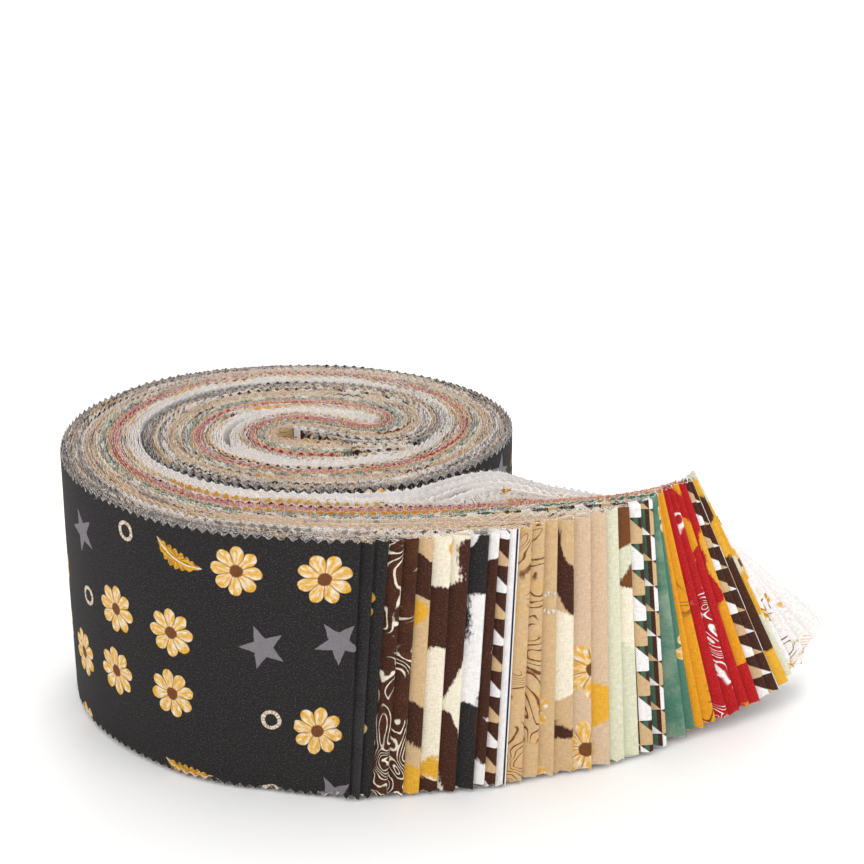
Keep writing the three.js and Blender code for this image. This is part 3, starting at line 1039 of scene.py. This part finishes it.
def make_motif_print():
    """Flowers, leaves, small stars and rings scattered over the ground, one to a cell."""
    inputs = PRINT_INPUTS + [("Pale", COLOUR, PALE), ("Deep", COLOUR, PALE)]
    tree, given, result = new_group("Scattered motifs", inputs, [("Color", COLOUR)])
    place = shifted(tree, given)
    cells = tree.nodes.new("ShaderNodeTexVoronoi")
    cells.voronoi_dimensions = "2D"
    tree.links.new(place, cells.inputs["Vector"])
    scale = maths(tree, "DIVIDE", 1.0, given["Size"])
    tree.links.new(scale, cells.inputs["Scale"])
    cells.inputs["Randomness"].default_value = 0.4
    chance = add(tree, "ShaderNodeSeparateColor", cells.outputs["Color"]).outputs
    local = vector_maths(tree, "SUBTRACT", place, cells.outputs["Position"])
    local = vector_maths(tree, "SCALE", local, scale)
    local = turned(tree, local, product(tree, chance[1], 6.283))
    jog = noise(tree, place, 420.0, 2.0)
    jog = joined(tree, maths(tree, "MULTIPLY_ADD", jog, 0.05, -0.025), 0.0)
    local = vector_maths(tree, "ADD", local, jog)
    x, y, _ = split(tree, local)
    radius = add(tree, "ShaderNodeVectorMath", local, operation="LENGTH").outputs["Value"]
    around = maths(tree, "ARCTAN2", y, x)

    petals = maths(tree, "ABSOLUTE", maths(tree, "COSINE", product(tree, around, 4.0)))
    petal_edge = maths(tree, "MULTIPLY_ADD", maths(tree, "POWER", petals, 0.6), 0.12, 0.21)
    flower = rest(tree, ramp(tree, difference(tree, radius, petal_edge), -0.008, 0.008))
    heart = rest(tree, ramp(tree, radius, 0.075, 0.095))
    across_petals = joined(tree, product(tree, around, 5.0), product(tree, radius, 8.0))
    streaks = noise(tree, across_petals, 1.0)
    petal_lines = ramp(tree, petals, 0.30, 0.05)

    bent = maths(tree, "ADD", y, product(tree, product(tree, x, x), 0.8))
    long_x = maths(tree, "DIVIDE", x, 0.36)
    taper = rest(tree, product(tree, long_x, long_x))
    lobes = maths(tree, "ABSOLUTE", maths(tree, "SINE", product(tree, x, 34.0)))
    leaf_edge = product(tree, taper, maths(tree, "MULTIPLY_ADD", lobes, 0.045, 0.085))
    side = maths(tree, "ABSOLUTE", bent)
    leaf = rest(tree, ramp(tree, difference(tree, side, leaf_edge), -0.006, 0.006))
    rib = rest(tree, ramp(tree, side, 0.004, 0.012))

    sector = math.pi / 5
    tip, notch = 0.31, 0.13
    from_tip = maths(tree, "PINGPONG", around, sector)
    to_notch = product(tree, maths(tree, "SINE", difference(tree, sector, from_tip)), notch)
    slant = maths(tree, "MULTIPLY_ADD", maths(tree, "SINE", from_tip), tip, to_notch)
    star_edge = maths(tree, "DIVIDE", tip * notch * math.sin(sector), slant)
    star = rest(tree, ramp(tree, difference(tree, radius, star_edge), -0.006, 0.006))

    ring_line = maths(tree, "ABSOLUTE", difference(tree, radius, 0.11))
    ring = rest(tree, ramp(tree, ring_line, 0.018, 0.030))

    is_flower = between(tree, chance[0], -0.01, 0.34)
    is_leaf = between(tree, chance[0], 0.34, 0.60)
    is_star = between(tree, chance[0], 0.60, 0.85)
    is_ring = between(tree, chance[0], 0.85, 1.01)

    shading = ramp(tree, streaks, 0.35, 0.75)
    gold = blend(tree, shading, given["Main"], given["Pale"])
    gold = blend(tree, product(tree, petal_lines, 0.7), gold, given["Deep"])
    gold = blend(tree, heart, gold, given["Deep"])
    leaf_gold = blend(tree, shading, given["Main"], given["Deep"])
    leaf_gold = blend(tree, rib, leaf_gold, given["Pale"])
    colour = blend(tree, product(tree, flower, is_flower), given["Ground"], gold)
    colour = blend(tree, product(tree, leaf, is_leaf), colour, leaf_gold)
    colour = blend(tree, product(tree, star, is_star), colour, given["Second"])
    ring_colour = blend(tree, shading, given["Pale"], given["Deep"])
    colour = blend(tree, product(tree, ring, is_ring), colour, ring_colour)
    tree.links.new(colour, result["Color"])
    return tree


PRINT_MAKERS = {
    "solid": make_solid_print,
    "hide": make_hide_print,
    "triangles": make_triangle_print,
    "stripes": make_stripe_print,
    "sketch": make_sketch_print,
    "motifs": make_motif_print,
}
GROUP_MAKERS = {"weave": make_weave, "fray": make_fray, **PRINT_MAKERS}
groups = {}


def use_group(tree, kind, **values):
    """A shared node group placed in a material with its own values."""
    if kind not in groups:
        groups[kind] = GROUP_MAKERS[kind]()
    node = tree.nodes.new("ShaderNodeGroup")
    node.node_tree = groups[kind]
    for name, value in values.items():
        if isinstance(value, bpy.types.NodeSocket):
            tree.links.new(value, node.inputs[name])
        else:
            node.inputs[name].default_value = value
    return node.outputs


# How far the reverse, the frayed edges and the lint are undyed, and how the cloth takes light. The
# undyed colour at the frayed edges is also a painted shade between the teeth of white strips.
REVERSE_UNDYED = 0.35
FRAY_UNDYED = 0.85
LINT_UNDYED = 0.07
ROUGHNESS = 0.74
ROUGHNESS_BY_SHADE = 0.15
SHADER_VALUES = {"Specular IOR Level": 0.12, "Sheen Weight": 0.03, "Sheen Roughness": 0.5}
BUMP_VALUES = {"Strength": 0.35, "Distance": 0.00012}


def cotton_material(number, sizes, colours):
    """Printed quilting cotton for one strip, pale at its reverse and at its cut edges."""
    row = dict(zip(STRIP_COLUMNS, STRIPS[number - 1]))
    material = bpy.data.materials.new(f"{strip_name(number)}_cotton")
    material.use_nodes = True
    tree = material.node_tree
    shader = tree.nodes["Principled BSDF"]
    cloth = add(tree, "ShaderNodeUVMap", uv_map="cloth").outputs[0]
    edge = add(tree, "ShaderNodeUVMap", uv_map="edge").outputs[0]
    values = {
        "Cloth": cloth,
        "Cut": row["cut"],
        "Size": row["size"] * MM,
        "Cover": row["cover"],
        "Ground": linear(getattr(colours, row["ground"])),
        "Main": linear(getattr(colours, row["main"])),
        "Second": linear(getattr(colours, row["second"])),
    }
    if row["print"] == "triangles":
        values["Stripe"] = linear(colours.moss)
    if row["print"] == "motifs":
        values["Pale"] = linear(colours.cream)
        values["Deep"] = linear(colours.umber)
    print_colour = use_group(tree, row["print"], **values)["Color"]
    weave = use_group(tree, "weave", Cloth=cloth, Thread=sizes.thread_pitch)
    fray = use_group(tree, "fray", Cloth=cloth, Edge=edge)
    # The colour of bare fibres. At the frayed edges of white strips it is also a painted shade between
    # the teeth.
    undyed_and_tooth_shade = linear(colours.undyed_and_tooth_shade)
    reverse = blend(tree, REVERSE_UNDYED, print_colour, undyed_and_tooth_shade)
    colour = blend(tree, fray["Reverse"], print_colour, reverse)
    colour = blend(tree, product(tree, fray["Fray"], FRAY_UNDYED), colour, undyed_and_tooth_shade)
    colour = blend(tree, product(tree, weave["Lint"], LINT_UNDYED), colour, undyed_and_tooth_shade)
    shade = joined(tree, weave["Shade"], weave["Shade"], weave["Shade"])
    colour = blend(tree, 1.0, colour, shade, "MULTIPLY")
    tree.links.new(colour, shader.inputs["Base Color"])
    rough = maths(tree, "MULTIPLY_ADD", weave["Shade"], ROUGHNESS_BY_SHADE, ROUGHNESS)
    tree.links.new(rough, shader.inputs["Roughness"])
    bump = add(tree, "ShaderNodeBump")
    for node, given in ((shader, SHADER_VALUES), (bump, BUMP_VALUES)):
        for name, value in given.items():
            node.inputs[name].default_value = value
    tree.links.new(weave["Height"], bump.inputs["Height"])
    tree.links.new(bump.outputs[0], shader.inputs["Normal"])
    return material, row["slot"]


def settings():
    scene = bpy.context.scene
    return scene.strip_sizes, scene.cloth_colours, scene.stage_sizes


def dress(number, replaced):
    """One folded strip with its fray, standing for the solids that held its place."""
    sizes, colours, _ = settings()
    shift = plan_shift()
    material, slot = cotton_material(number, sizes, colours)
    strip = build_strip(number, sizes, shift)
    fray = build_fray(number, sizes, shift)
    for piece in (strip, fray):
        piece.data.materials.append(material)
        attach(piece, "root")
        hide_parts(*replaced)


class ROLL_OT_stepped_strips(Operator):
    """Build the outer strips, whose folds step back one behind the other"""

    bl_idname = "roll.stepped_strips"
    bl_label = "Stepped strips"

    def execute(self, context):
        for number in range(1, FIRST_LOOSE):
            dress(number, ["wound_strips"])
        return {"FINISHED"}


class ROLL_OT_fanned_strips(Operator):
    """Build the inner strips, whose loose ends fan out"""

    bl_idname = "roll.fanned_strips"
    bl_label = "Fanned strips"

    def execute(self, context):
        for number in range(FIRST_LOOSE, STRIP_COUNT + 1):
            loose_end = (number - FIRST_LOOSE) // STRIPS_PER_LOOSE_END + 1
            dress(number, ["wound_strips", f"loose_end_{loose_end:02d}"])
        return {"FINISHED"}


# The lamps: place, what each is aimed at, side in metres and the property with its power.
MIDDLE = (0.02, 0, 0.03)
LAMPS = (
    ("key_lamp", (-0.55, -0.75, 0.85), MIDDLE, 0.7, "key_power"),
    ("fill_lamp", (0.9, -0.55, 0.5), MIDDLE, 0.8, "fill_power"),
    ("top_lamp", (0.0, 0.25, 1.1), MIDDLE, 0.9, "top_power"),
    ("far_lamp", (0.0, 1.9, 1.3), (0.0, 1.7, 0.0), 1.2, "far_power"),
)
FLOOR_DROP = 0.0002
FLOOR_COLOUR = (0.92, 0.92, 0.92, 1)
FLOOR_ROUGHNESS = 0.9


def lamp(name, place, aim, size, watts):
    data = bpy.data.lights.new(name, "AREA")
    data.energy = watts
    data.size = size
    piece = bpy.data.objects.new(name, data)
    piece.location = place
    piece.rotation_euler = (Vector(aim) - Vector(place)).to_track_quat("-Z", "Y").to_euler()
    bpy.context.scene.collection.objects.link(piece)


def floor_material():
    material = bpy.data.materials.new("pale_floor")
    material.use_nodes = True
    shader = material.node_tree.nodes["Principled BSDF"]
    shader.inputs["Base Color"].default_value = FLOOR_COLOUR
    shader.inputs["Roughness"].default_value = FLOOR_ROUGHNESS
    return material


class ROLL_OT_stage(Operator):
    """Build the pale floor, the soft lamps and the camera"""

    bl_idname = "roll.stage"
    bl_label = "Stage"

    def execute(self, context):
        _, _, stage = settings()
        bpy.ops.mesh.primitive_plane_add(size=stage.floor_size, location=(0, 0, -FLOOR_DROP))
        floor = bpy.context.object
        floor.name = "pale_floor"
        floor.data.materials.append(floor_material())
        for name, place, aim, size, power_name in LAMPS:
            lamp(name, place, aim, size, getattr(stage, power_name))

        world = bpy.data.worlds.new("white_surroundings")
        world.use_nodes = True
        background = world.node_tree.nodes["Background"]
        background.inputs["Color"].default_value = (1, 1, 1, 1)
        background.inputs["Strength"].default_value = stage.world_strength
        context.scene.world = world
        context.scene.view_settings.view_transform = "Standard"

        data = bpy.data.cameras.new("camera")
        data.lens = CAMERA_LENS
        data.sensor_width = CAMERA_SENSOR
        data.clip_start = CAMERA_NEAR
        camera = bpy.data.objects.new("camera", data)
        camera.location = (np.array(CAMERA_PLACE) + plan_shift()) * MM
        camera.rotation_euler = (math.radians(90 - CAMERA_DOWN), 0, 0)
        context.scene.collection.objects.link(camera)
        context.scene.camera = camera
        return {"FINISHED"}


class ROLL_PT_quilting_roll(Panel):
    """Sizes, colours and pieces of the roll"""

    bl_idname = "ROLL_PT_quilting_roll"
    bl_label = "Quilting strip roll"
    bl_space_type = "VIEW_3D"
    bl_region_type = "UI"
    bl_category = "Quilting"

    def draw(self, context):
        for group in settings():
            box = self.layout.box()
            for name in group.__annotations__:
                box.prop(group, name)
        for operator in OPERATORS:
            self.layout.operator(operator.bl_idname)


OPERATORS = (ROLL_OT_stepped_strips, ROLL_OT_fanned_strips, ROLL_OT_stage)
CLASSES = (StripSizes, ClothColours, StageSizes, *OPERATORS, ROLL_PT_quilting_roll)


def register():
    for cls in CLASSES:
        bpy.utils.register_class(cls)
    bpy.types.Scene.strip_sizes = PointerProperty(type=StripSizes)
    bpy.types.Scene.cloth_colours = PointerProperty(type=ClothColours)
    bpy.types.Scene.stage_sizes = PointerProperty(type=StageSizes)


def unregister():
    del bpy.types.Scene.stage_sizes
    del bpy.types.Scene.cloth_colours
    del bpy.types.Scene.strip_sizes
    for cls in reversed(CLASSES):
        bpy.utils.unregister_class(cls)


def main():
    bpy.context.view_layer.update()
    register()
    bpy.ops.roll.stage()
    bpy.ops.roll.stepped_strips()
    bpy.ops.roll.fanned_strips()
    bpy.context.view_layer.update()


if __name__ == "__main__":
    main()
